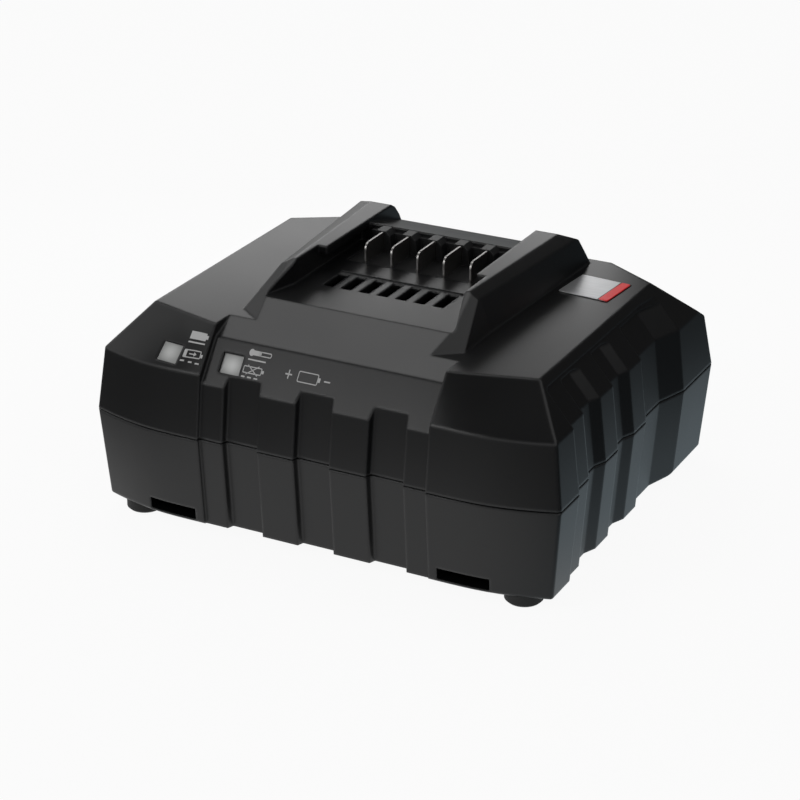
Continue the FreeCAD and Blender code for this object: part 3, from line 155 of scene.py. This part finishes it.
def mouldedPlastic(name, look):
    material, tree, shader = newMaterial(name)
    rounded = softened(tree, look["edge"])
    grainLook = {"Scale": look["scale"], "Rough": look["rough"], "Spread": look["spread"]}
    surface = put(tree, "ShaderNodeGroup", grainLook, node_tree=grain).outputs
    edges = put(tree, "ShaderNodeGroup", {"Rounded": rounded, "Amount": look["edgeSheen"]}, node_tree=edgeSheen).outputs
    # the edges are painted lighter: a painted highlight where a rounded edge would catch the light
    colour = blend(tree, edges["Mask"], look["colour"], look["sheenColour"])
    tree.links.new(colour, shader.inputs["Base Color"])
    tree.links.new(surface["Roughness"], shader.inputs["Roughness"])
    tree.links.new(raised(tree, surface["Height"], look["depth"], rounded), shader.inputs["Normal"])
    shader.inputs["Specular IOR Level"].default_value = look["shine"]
    return material


def platedMetal(name, look):
    material, tree, shader = newMaterial(name)
    rounded = softened(tree, look["edge"])
    drawnLook = {"Stretch": look["stretch"], "Rough": look["rough"], "Spread": look["spread"]}
    surface = put(tree, "ShaderNodeGroup", drawnLook, node_tree=drawn).outputs
    colour = blend(tree, surface["Height"], look["colour"], look["dull"])
    tree.links.new(colour, shader.inputs["Base Color"])
    tree.links.new(surface["Roughness"], shader.inputs["Roughness"])
    tree.links.new(raised(tree, surface["Height"], look["depth"], rounded), shader.inputs["Normal"])
    shader.inputs["Metallic"].default_value = 1.0
    return material


def dress(material, *names):
    for name in names:
        mesh = nodes[name].data
        mesh.materials.clear()
        mesh.materials.append(material)


# the second colour of each look is the lighter one painted along its edges as a painted highlight, and the
# amount sets how much
shell = {"colour": (0.0042, 0.0043, 0.0047), "sheenColour": (0.012, 0.0125, 0.0135), "rough": 0.30,
         "spread": 0.07, "scale": 2600.0, "depth": 0.22, "edge": 1.3, "edgeSheen": 0.6, "shine": 0.38}
dress(mouldedPlastic("shellBlack", shell), "lower_housing", "upper_housing")

carrier = shell | {"colour": (0.006, 0.006, 0.0065), "rough": 0.46, "edge": 0.3}
dress(mouldedPlastic("carrierBlack", carrier), "contact_carrier", "transformer_bobbin", "bridge_rectifier",
      "power_transistors", "fan_frame", "fan_rotor")

rubber = shell | {"colour": (0.009, 0.009, 0.009), "rough": 0.68, "edge": 0.4, "scale": 1400.0, "depth": 0.5}
dress(mouldedPlastic("footRubber", rubber), "rubber_feet", "cable_gland")

terminal = shell | {"colour": (0.72, 0.72, 0.68), "sheenColour": (0.8, 0.8, 0.76), "rough": 0.42, "edge": 0.25}
dress(mouldedPlastic("terminalWhite", terminal), "mains_terminal", "harness_socket")

ferrite = shell | {"colour": (0.07, 0.07, 0.075), "sheenColour": (0.12, 0.12, 0.12), "rough": 0.55,
                   "scale": 1200.0, "depth": 0.7, "edge": 0.3}
dress(mouldedPlastic("ferriteGrey", ferrite), "transformer_core")

board = shell | {"colour": (0.02, 0.12, 0.05), "sheenColour": (0.2, 0.2, 0.1), "rough": 0.3, "depth": 0.1,
                 "edge": 0.15}
dress(mouldedPlastic("boardGreen", board), "main_board", "led_board")

sleeve = shell | {"colour": (0.02, 0.035, 0.09), "sheenColour": (0.05, 0.07, 0.12), "rough": 0.22, "depth": 0.05,
                  "edge": 0.6}
dress(mouldedPlastic("sleeveBlue", sleeve), "mains_capacitor", "output_capacitors")

ceramic = shell | {"colour": (0.75, 0.73, 0.66), "sheenColour": (0.8, 0.78, 0.7), "rough": 0.3, "depth": 0.2,
                   "edge": 0.3}
dress(mouldedPlastic("fuseCeramic", ceramic), "fuse")

nickel = {"colour": (0.34, 0.33, 0.32), "dull": (0.24, 0.235, 0.23), "rough": 0.34, "spread": 0.16,
          "stretch": (900.0, 120.0, 900.0), "depth": 0.25, "edge": 0.12}
blades = [name for name in nodes if name.startswith("contact_blade_")]
dress(platedMetal("contactNickel", nickel), *blades)

steel = {"colour": (0.62, 0.62, 0.64), "dull": (0.45, 0.45, 0.48), "rough": 0.3, "spread": 0.2,
         "stretch": (500.0, 500.0, 500.0), "depth": 0.2, "edge": 0.2}
dress(platedMetal("screwSteel", steel), "housing_screws", "board_screws", "fan_screws", "fuse_clips")

aluminium = {"colour": (0.78, 0.78, 0.8), "dull": (0.6, 0.6, 0.62), "rough": 0.32, "spread": 0.2,
             "stretch": (60.0, 60.0, 2400.0), "depth": 0.4, "edge": 0.2}
dress(platedMetal("sinkAluminium", aluminium), "heat_sink")

copper = {"colour": (0.55, 0.2, 0.07), "dull": (0.35, 0.12, 0.04), "rough": 0.28, "spread": 0.1,
          "stretch": (60.0, 60.0, 2400.0), "depth": 0.6, "edge": 0.3}
dress(platedMetal("windingCopper", copper), "transformer_winding", "filter_choke")


def milkyWindow(name, look, centre):
    # pale in the middle, where the lamp stands behind it, and deeper towards the rim
    material, tree, shader = newMaterial(name)
    place = put(tree, "ShaderNodeTexCoord").outputs["Object"]
    cloud = put(tree, "ShaderNodeTexNoise", {"Vector": place, "Scale": 260.0, "Detail": 3.0}).outputs["Fac"]
    reach = put(tree, "ShaderNodeVectorMath", {0: place, 1: centre}, operation="DISTANCE").outputs["Value"]
    rim = between(tree, reach, 0.0, look["reach"] * mm, 0.0, 1.0)
    share = sums(tree, "ADD", rim, swing(tree, cloud, look["cloud"]), clamp=True)
    tree.links.new(blend(tree, share, look["colour"], look["deep"]), shader.inputs["Base Color"])
    tree.links.new(softened(tree, look["edge"]), shader.inputs["Normal"])
    shader.inputs["Roughness"].default_value = look["rough"]
    shader.inputs["Subsurface Weight"].default_value = look["milk"]
    shader.inputs["Subsurface Radius"].default_value = (look["milkReach"] * mm,) * 3
    return material


def middle(node):
    low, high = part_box(node)
    return tuple((np.array(low) + np.array(high)) / 2)


window = {"colour": (0.74, 0.75, 0.74), "deep": (0.32, 0.325, 0.32), "rough": 0.32, "milk": 0.4,
          "milkReach": 2.0, "cloud": 0.3, "edge": 0.4, "reach": 5.0}
for side in ("left", "centre"):
    node = "light_window_" + side
    dress(milkyWindow("windowMilk" + side.title(), window, middle(node)), node)

lamp = window | {"colour": (0.8, 0.8, 0.7), "deep": (0.7, 0.7, 0.55), "rough": 0.12}
dress(milkyWindow("lampClear", lamp, middle("status_lamps")), "status_lamps")
print("materials on", len(nodes), "nodes")


# printed marks beside the windows, and the plate on the right shoulder, in millimetres

weld = ("WELD", {"merge_threshold": 0.002 * mm})


def gridMesh(name, sheets):
    # each sheet is points[rows, columns, 3]; where its last column repeats its first, the merge closes it
    points = []
    faces = []
    start = 0
    for sheet in sheets:
        rows, columns = sheet.shape[:2]
        index = start + np.arange(rows * columns).reshape(rows, columns)
        corners = (index[:-1, :-1], index[:-1, 1:], index[1:, 1:], index[1:, :-1])
        faces.append(np.stack(corners, axis=-1).reshape(-1, 4))
        points.append(sheet.reshape(-1, 3))
        start += rows * columns
    mesh = bpy.data.meshes.new(name)
    mesh.from_pydata(np.concatenate(points).tolist(), [], np.concatenate(faces).tolist())
    piece = bpy.data.objects.new(name, mesh)
    bpy.context.scene.collection.objects.link(piece)
    return piece


def applied(piece, *steps):
    # the modifiers are made part of the mesh, so that the piece needs no other object later
    for kind, settings in steps:
        step = piece.modifiers.new(kind.title(), kind)
        for key, value in settings.items():
            setattr(step, key, value)
    seen = piece.evaluated_get(bpy.context.evaluated_depsgraph_get())
    mesh = bpy.data.meshes.new_from_object(seen)
    piece.modifiers.clear()
    piece.data = mesh
    return piece


def finished(piece, material):
    piece.data.materials.clear()
    piece.data.materials.append(material)
    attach(piece, "charger")


def barMark(start, end, level, half, columns=12, lean=0.0):
    # a filled bar: a straight line from start to end, plus and minus half the bar's height
    along = np.linspace(start, end, columns)
    line = level + lean * (along - start)
    return np.stack([np.stack([along, line - half], -1), np.stack([along, line + half], -1)])


def stepMark(along, halves, level):
    # a filled shape, the same above and below its level: its half height at each place along it
    along = np.array(along)
    halves = np.array(halves)
    return np.stack([np.stack([along, level - halves], -1), np.stack([along, level + halves], -1)])


def roundLoop(reach, half, corner, columns=128, arcPoints=9):
    # a rectangle with round corners: four quarter circles about its inner corners,
    # then even steps along the way round
    quarter = np.repeat(np.arange(4), arcPoints)
    turn = (quarter + np.tile(np.linspace(0.0, 1.0, arcPoints), 4)) * math.pi / 2
    right = np.where((quarter == 0) | (quarter == 3), 1.0, -1.0)
    up = np.where(quarter < 2, 1.0, -1.0)
    points = np.stack([right * (reach - corner) + corner * np.cos(turn),
                       up * (half - corner) + corner * np.sin(turn)], axis=-1)
    points = np.concatenate([points, points[:1]])
    way = np.concatenate([[0.0], np.cumsum(np.linalg.norm(np.diff(points, axis=0), axis=1))])
    steps = np.linspace(0.0, way[-1], columns + 1)
    return np.stack([np.interp(steps, way, points[:, 0]), np.interp(steps, way, points[:, 1])], axis=-1)


def loopMark(start, end, level, half, line, corner=0.35):
    # an outline: a rounded rectangle and a smaller one inside it
    centre = np.array([(start + end) / 2, level])
    reach = (end - start) / 2
    return np.stack([centre + roundLoop(reach - less, half - less, corner - less) for less in (0.0, line)])


def bulbMark(centre, radius, end, half, level, columns=24, inside=0.995):
    # a filled bulb that runs on as a tube: the larger of the circle's height and the tube's,
    # from just inside the circle, where it already has some height
    along = np.linspace(centre - radius * inside, end, columns)
    circle = np.sqrt(np.clip(radius ** 2 - (along - centre) ** 2, 0.0, None))
    return stepMark(along, np.where(along > centre, np.maximum(circle, half), circle), level)


# the two front faces that carry the marks: where they stand, and how they rise and run
leftFace = {"lowLevel": 58.4, "rise": 14.0, "low": -68.6, "arcFrom": 52.0, "arcReach": 33.5, "arcSweep": 6.8,
            "high": -57.4, "highFrom": 42.0, "highLean": 0.2805}
centreFace = {"lowLevel": 55.2, "rise": 13.2, "low": -67.72, "run": 10.02}


def leftSlope(across, level):
    # between the low arc and the high line of the left part, in even steps of the level
    away = -across
    beyond = np.clip(away - leftFace["arcFrom"], 0.0, None)
    low = leftFace["low"] + leftFace["arcSweep"] * (beyond / leftFace["arcReach"]) ** 2
    high = leftFace["high"] + leftFace["highLean"] * (away - leftFace["highFrom"])
    return low + (high - low) * (level - leftFace["lowLevel"]) / leftFace["rise"]


def centreSlope(across, level):
    # one plane, the same all the way across, so the depth rises evenly with the level
    return centreFace["low"] + (level - centreFace["lowLevel"]) * (centreFace["run"] / centreFace["rise"])


marks = {"line": 0.19, "outline": 0.26, "cross": 0.15, "crossLean": 0.60, "drop": 0.5, "film": 0.05,
         "proud": 0.045, "leftLean": 0.06}

# the levels of the rows on the left face, and where its dashes start and end
leftRows = {"full": 68.1, "line": 66.2, "charging": 63.2, "dashes": 61.1}
leftDashes = [(-51.0, -49.4), (-47.8, -46.4), (-45.1, -43.6)]
leftMarks = [
    stepMark([-50.4, -47.0, -43.95, -43.9, -43.1], [1.0, 1.0, 1.0, 0.5, 0.5], leftRows["full"]),  # full cell
    barMark(-50.4, -43.7, leftRows["line"], marks["line"]),
    loopMark(-50.6, -43.9, leftRows["charging"], 1.05, marks["outline"]),  # cell that charges
    stepMark([-50.4, -49.4], [0.9, 0.9], leftRows["charging"]),  # its charge so far
    stepMark([-48.4, -46.6, -46.55, -45.6], [0.14, 0.14, 0.55, 0.03], leftRows["charging"]),  # arrow
    stepMark([-43.85, -43.1], [0.45, 0.45], leftRows["charging"]),  # nub
]
leftMarks += [barMark(start, end, leftRows["dashes"], marks["line"]) for start, end in leftDashes]

centreRows = {"warm": 66.0, "line": 64.1, "faulty": 61.35, "crossLow": 60.1, "crossHigh": 62.6,
              "dashes": 59.35}
centreDashes = [(-28.6, -27.3), (-26.3, -24.9), (-23.9, -22.5)]
centreMarks = [
    bulbMark(-27.2, 0.95, -23.6, 0.66, centreRows["warm"]),  # thermometer, filled
    loopMark(-24.4, -19.8, centreRows["warm"], 0.66, marks["outline"], corner=0.6),  # its empty end
    barMark(-27.9, -21.3, centreRows["line"], marks["line"]),
    loopMark(-28.6, -21.7, centreRows["faulty"], 1.0, marks["outline"]),  # faulty cell
    stepMark([-21.65, -20.9], [0.42, 0.42], centreRows["faulty"]),  # nub
    barMark(-27.2, -23.0, centreRows["crossLow"], marks["cross"], lean=marks["crossLean"]),
    barMark(-27.2, -23.0, centreRows["crossHigh"], marks["cross"], lean=-marks["crossLean"]),
]
centreMarks += [barMark(start, end, centreRows["dashes"], marks["line"]) for start, end in centreDashes]

cellRow = 62.4
cellMarks = [
    barMark(-13.2, -10.8, cellRow, marks["line"]),  # plus
    stepMark([-12.19, -11.81], [1.2, 1.2], cellRow),
    loopMark(-8.6, -1.2, cellRow, 1.5, marks["outline"], corner=0.5),  # cell
    stepMark([-1.15, -0.4], [0.6, 0.6], cellRow),  # nub
    barMark(1.0, 3.2, cellRow, marks["line"]),  # minus
]


def printOn(name, shapes, slope, material, lean=0.0):
    # each mark is laid along the slope, let down on the housing and given the film's thickness
    sheets = []
    for shape in shapes:
        across = shape[..., 0]
        level = shape[..., 1] + lean * (across - across.mean())
        sheets.append(np.stack([across, slope(across, level), level + marks["drop"]], axis=-1) * mm)
    letDown = {"target": nodes["upper_housing"], "wrap_method": "PROJECT", "use_project_z": True,
               "use_negative_direction": True, "use_positive_direction": False,
               "offset": marks["proud"] * mm}
    piece = applied(gridMesh(name, sheets), weld, ("SHRINKWRAP", letDown),
                    ("SOLIDIFY", {"thickness": marks["film"] * mm}))
    finished(piece, material)


ink = shell | {"colour": (0.50, 0.50, 0.50), "sheenColour": (0.55, 0.55, 0.55), "rough": 0.5, "edge": 0.02,
               "depth": 0.1}
printGrey = mouldedPlastic("printGrey", ink)
printOn("left_marks", leftMarks, leftSlope, printGrey, lean=marks["leftLean"])
printOn("centre_marks", centreMarks, centreSlope, printGrey)
printOn("cell_mark", cellMarks, centreSlope, printGrey)
print("marks printed")

# lineHigh, lineIn and lineUnder are how far the dark line beside the band stands up, is drawn in
# at its ends and runs under the band; bandShift keeps the band's sides off the plate's
# the rim sizes the dark slab round the plate, a painted shadow line along the plate's edge
plate = {"centre": (55.5, 28.7), "size": (18.6, 17.6), "turn": -4.6, "seat": 72.4, "sunk": 0.3, "corner": 0.7,
         "bevel": 0.12, "rim": 0.45, "shadowRimHigh": 0.12, "plateHigh": 0.35, "bandWide": 3.4, "bandHigh": 0.42,
         "bandLine": 0.35, "lineHigh": 0.03, "lineIn": 0.02, "lineUnder": 0.4, "bandShift": 0.01}


def slab(name, start, end, low, high):
    # a flat plate: rounded rectangles up its side, over a small bevel, and closed to its middle on both faces
    centre = (np.array(start) + np.array(end)) / 2
    reach, half = (np.array(end) - np.array(start)) / 2
    outline = roundLoop(reach, half, plate["corner"])
    inset = roundLoop(reach - plate["bevel"], half - plate["bevel"], plate["corner"] - plate["bevel"])
    point = np.zeros_like(outline)
    rings = [(point, low), (outline, low), (outline, high - plate["bevel"]), (inset, high), (point, high)]
    sheet = np.stack([np.column_stack([centre + ring, np.full(len(ring), level)]) for ring, level in rings])
    angle = math.radians(plate["turn"])
    across = sheet[..., 0].copy()
    along = sheet[..., 1].copy()
    sheet[..., 0] = plate["centre"][0] + across * math.cos(angle) - along * math.sin(angle)
    sheet[..., 1] = plate["centre"][1] + across * math.sin(angle) + along * math.cos(angle)
    sheet[..., 2] += plate["seat"]
    return applied(gridMesh(name, [sheet * mm]), weld)


wide = plate["size"][0] / 2
deep = plate["size"][1] / 2
inner = wide - plate["bandWide"]

# a darker, duller slab just wider than the plate: a painted shadow line round the plate
shadowRimLook = shell | {"colour": (0.002, 0.002, 0.002), "rough": 0.6, "edge": 0.1, "shine": 0.2}
plateShadowRim = slab("plate_shadow_rim", (-wide - plate["rim"], -deep - plate["rim"]),
                (wide + plate["rim"], deep + plate["rim"]), -plate["sunk"], plate["shadowRimHigh"])
finished(plateShadowRim, mouldedPlastic("rimPaintedShadow", shadowRimLook))

faceLook = {"colour": (0.78, 0.78, 0.79), "dull": (0.50, 0.51, 0.52), "rough": 0.38, "spread": 0.12,
            "stretch": (90.0, 2600.0, 90.0), "depth": 0.25, "edge": 0.05}
plateFace = slab("plate_face", (-wide, -deep), (wide, deep), -plate["sunk"], plate["plateHigh"])
finished(plateFace, platedMetal("plateSilver", faceLook))

lineLook = shell | {"colour": (0.004, 0.004, 0.004), "edge": 0.02}
bandEdge = slab("plate_band_edge", (inner - plate["bandLine"], -deep + plate["lineIn"]),
                (inner + plate["lineUnder"], deep - plate["lineIn"]), 0.0,
                plate["plateHigh"] + plate["lineHigh"])
finished(bandEdge, mouldedPlastic("bandBlack", lineLook))

bandLook = shell | {"colour": (0.80, 0.006, 0.010), "sheenColour": (0.85, 0.03, 0.03), "rough": 0.35, "edge": 0.04,
                    "shine": 0.4}
band = slab("plate_band", (inner, -deep + plate["bandShift"]),
            (wide + plate["bandShift"], deep + plate["bandShift"]), 0.0, plate["bandHigh"])
finished(band, mouldedPlastic("bandRed", bandLook))
print("plate set on the shoulder")


# stage: white floor and backdrop, lights, camera, in metres

studio = {"floor": (0.80, 0.80, 0.80), "floorRough": 0.9, "floorHalf": 3.0, "white": 0.93, "worldLight": 0.42,
          "spread": (1.7, 1.0, 0.0), "nearFrom": 0.13, "nearTo": 0.34, "near": 1.0, "far": 0.13,
          "coolWay": (0.87, 0.49, 0.0), "coolTo": 0.09, "cool": (0.46, 0.55, 0.60)}
# where the studio is dark to a gloss: the way there, from which cosine, to which, and how dark
flags = {"right": {"way": (0.59, 0.80, 0.12), "from": 0.45, "to": 0.80, "dark": 0.06},
         "above": {"way": (-0.20, -0.50, 0.84), "from": 0.74, "to": 0.92, "dark": 0.08},
         "behind": {"way": (-0.40, 0.78, 0.48), "from": 0.78, "to": 0.95, "dark": 0.10}}


def lookers(tree):
    # the rays of the eye itself, and those that a gloss or a clear piece sends on
    path = put(tree, "ShaderNodeLightPath").outputs
    return path["Is Camera Ray"], sums(tree, "MAXIMUM", path["Is Glossy Ray"], path["Is Transmission Ray"])


def whiteStage(name):
    # the eye sees white with a soft shadow in it; a gloss sees a pool of white,
    # which darkens away from the object and turns cooler to its right
    material, tree, shader = newMaterial(name)
    shader.inputs["Base Color"].default_value = (*studio["floor"], 1)
    shader.inputs["Roughness"].default_value = studio["floorRough"]
    eye, mirrored = lookers(tree)
    place = put(tree, "ShaderNodeTexCoord").outputs["Object"]
    spread = put(tree, "ShaderNodeVectorMath", {0: place, 1: studio["spread"]}, operation="MULTIPLY")
    away = put(tree, "ShaderNodeVectorMath", {0: spread.outputs[0]}, operation="LENGTH").outputs["Value"]
    near = between(tree, away, studio["nearFrom"], studio["nearTo"], studio["near"], studio["far"])
    towards = put(tree, "ShaderNodeVectorMath", {0: place, 1: studio["coolWay"]}, operation="DOT_PRODUCT")
    cool = between(tree, towards.outputs["Value"], 0.0, studio["coolTo"], 0.0, 1.0)
    colour = blend(tree, sums(tree, "MULTIPLY", cool, mirrored), (1.0, 1.0, 1.0), studio["cool"])
    strength = put(tree, "ShaderNodeMix", {0: mirrored, 2: 1.0, 3: near}).outputs[0]
    glow = put(tree, "ShaderNodeEmission", {"Color": colour, "Strength": strength}).outputs[0]
    seen = sums(tree, "MAXIMUM", mirrored, sums(tree, "MULTIPLY", eye, studio["white"]))
    mixed = put(tree, "ShaderNodeMixShader", {0: seen, 1: shader.outputs[0], 2: glow}).outputs[0]
    tree.links.new(mixed, tree.nodes["Material Output"].inputs["Surface"])
    return material


def flatSheet(name, half, level):
    # a square at one level, from its four corners
    across, along = np.meshgrid([-half, half], [-half, half])
    return gridMesh(name, [np.stack([across, along, np.full((2, 2), level)], axis=-1)])


floor = flatSheet("floor", studio["floorHalf"], 0.0)
floor.data.materials.append(whiteStage("floorWhite"))

# the eye sees a white world, a gloss sees it with the flags, and the rest is lit by the plain light
world = bpy.data.worlds.new("studioWorld")
bpy.context.scene.world = world
world.use_nodes = True
tree = world.node_tree
tree.nodes.clear()
eye, mirrored = lookers(tree)
way = put(tree, "ShaderNodeTexCoord").outputs["Generated"]
shown = 1.0
for flag in flags.values():
    towards = put(tree, "ShaderNodeVectorMath", {0: way, 1: flag["way"]}, operation="DOT_PRODUCT")
    shade = between(tree, towards.outputs["Value"], flag["from"], flag["to"], 1.0, flag["dark"])
    shown = sums(tree, "MULTIPLY", shade, shown)
strength = put(tree, "ShaderNodeMix", {0: mirrored, 2: studio["worldLight"], 3: shown}).outputs[0]
strength = put(tree, "ShaderNodeMix", {0: eye, 2: strength, 3: 1.0}).outputs[0]
sky = put(tree, "ShaderNodeBackground", {"Color": (1.0, 1.0, 1.0, 1), "Strength": strength})
tree.links.new(sky.outputs[0], put(tree, "ShaderNodeOutputWorld").inputs["Surface"])

softBoxes = {
    "key": {"at": (-0.46, 0.30, 1.00), "aim": (0.0, 0.0, 0.06), "size": (0.40, 0.40), "power": 1.0},
    "strip": {"at": (-0.15, 0.22, 0.152), "aim": (-0.07, 0.0, 0.10), "size": (0.26, 0.075), "power": 0.125},
    "front": {"at": (-0.42, -0.78, 0.60), "aim": (0.0, 0.0, 0.06), "size": (0.30, 0.30), "power": 1.5},
    "fill": {"at": (0.9, 0.5, 1.1), "aim": (0.0, 0.0, 0.05), "size": (0.6, 0.6), "power": 0.8},
}


def softBox(name, look):
    # a rectangle of light, pitched and turned until it faces what it aims at
    lamp = bpy.data.lights.new(name, "AREA")
    lamp.shape = "RECTANGLE"
    lamp.size, lamp.size_y = look["size"]
    lamp.energy = look["power"]
    piece = bpy.data.objects.new(name, lamp)
    bpy.context.scene.collection.objects.link(piece)
    aim = np.array(look["aim"]) - np.array(look["at"])
    pitch = math.acos(-aim[2] / np.linalg.norm(aim))
    turn = math.atan2(-aim[0], aim[1])
    piece.location = look["at"]
    piece.rotation_euler = (pitch, 0.0, turn)


for name, look in softBoxes.items():
    softBox(name + "Box", look)

# focal length and sensor in millimetres, turns in degrees
lens = {"focal": 108.0, "sensor": 36.0, "at": (0.3457, -0.6740, 0.3734), "turn": (65.664, 0.0, 27.417)}
camera = bpy.data.objects.new("camera", bpy.data.cameras.new("camera"))
bpy.context.scene.collection.objects.link(camera)
camera.data.lens = lens["focal"]
camera.data.sensor_width = lens["sensor"]
camera.location = lens["at"]
camera.rotation_euler = Euler([math.radians(angle) for angle in lens["turn"]])
bpy.context.scene.camera = camera
bpy.context.scene.view_settings.view_transform = "Standard"
print("stage, lights and camera set")
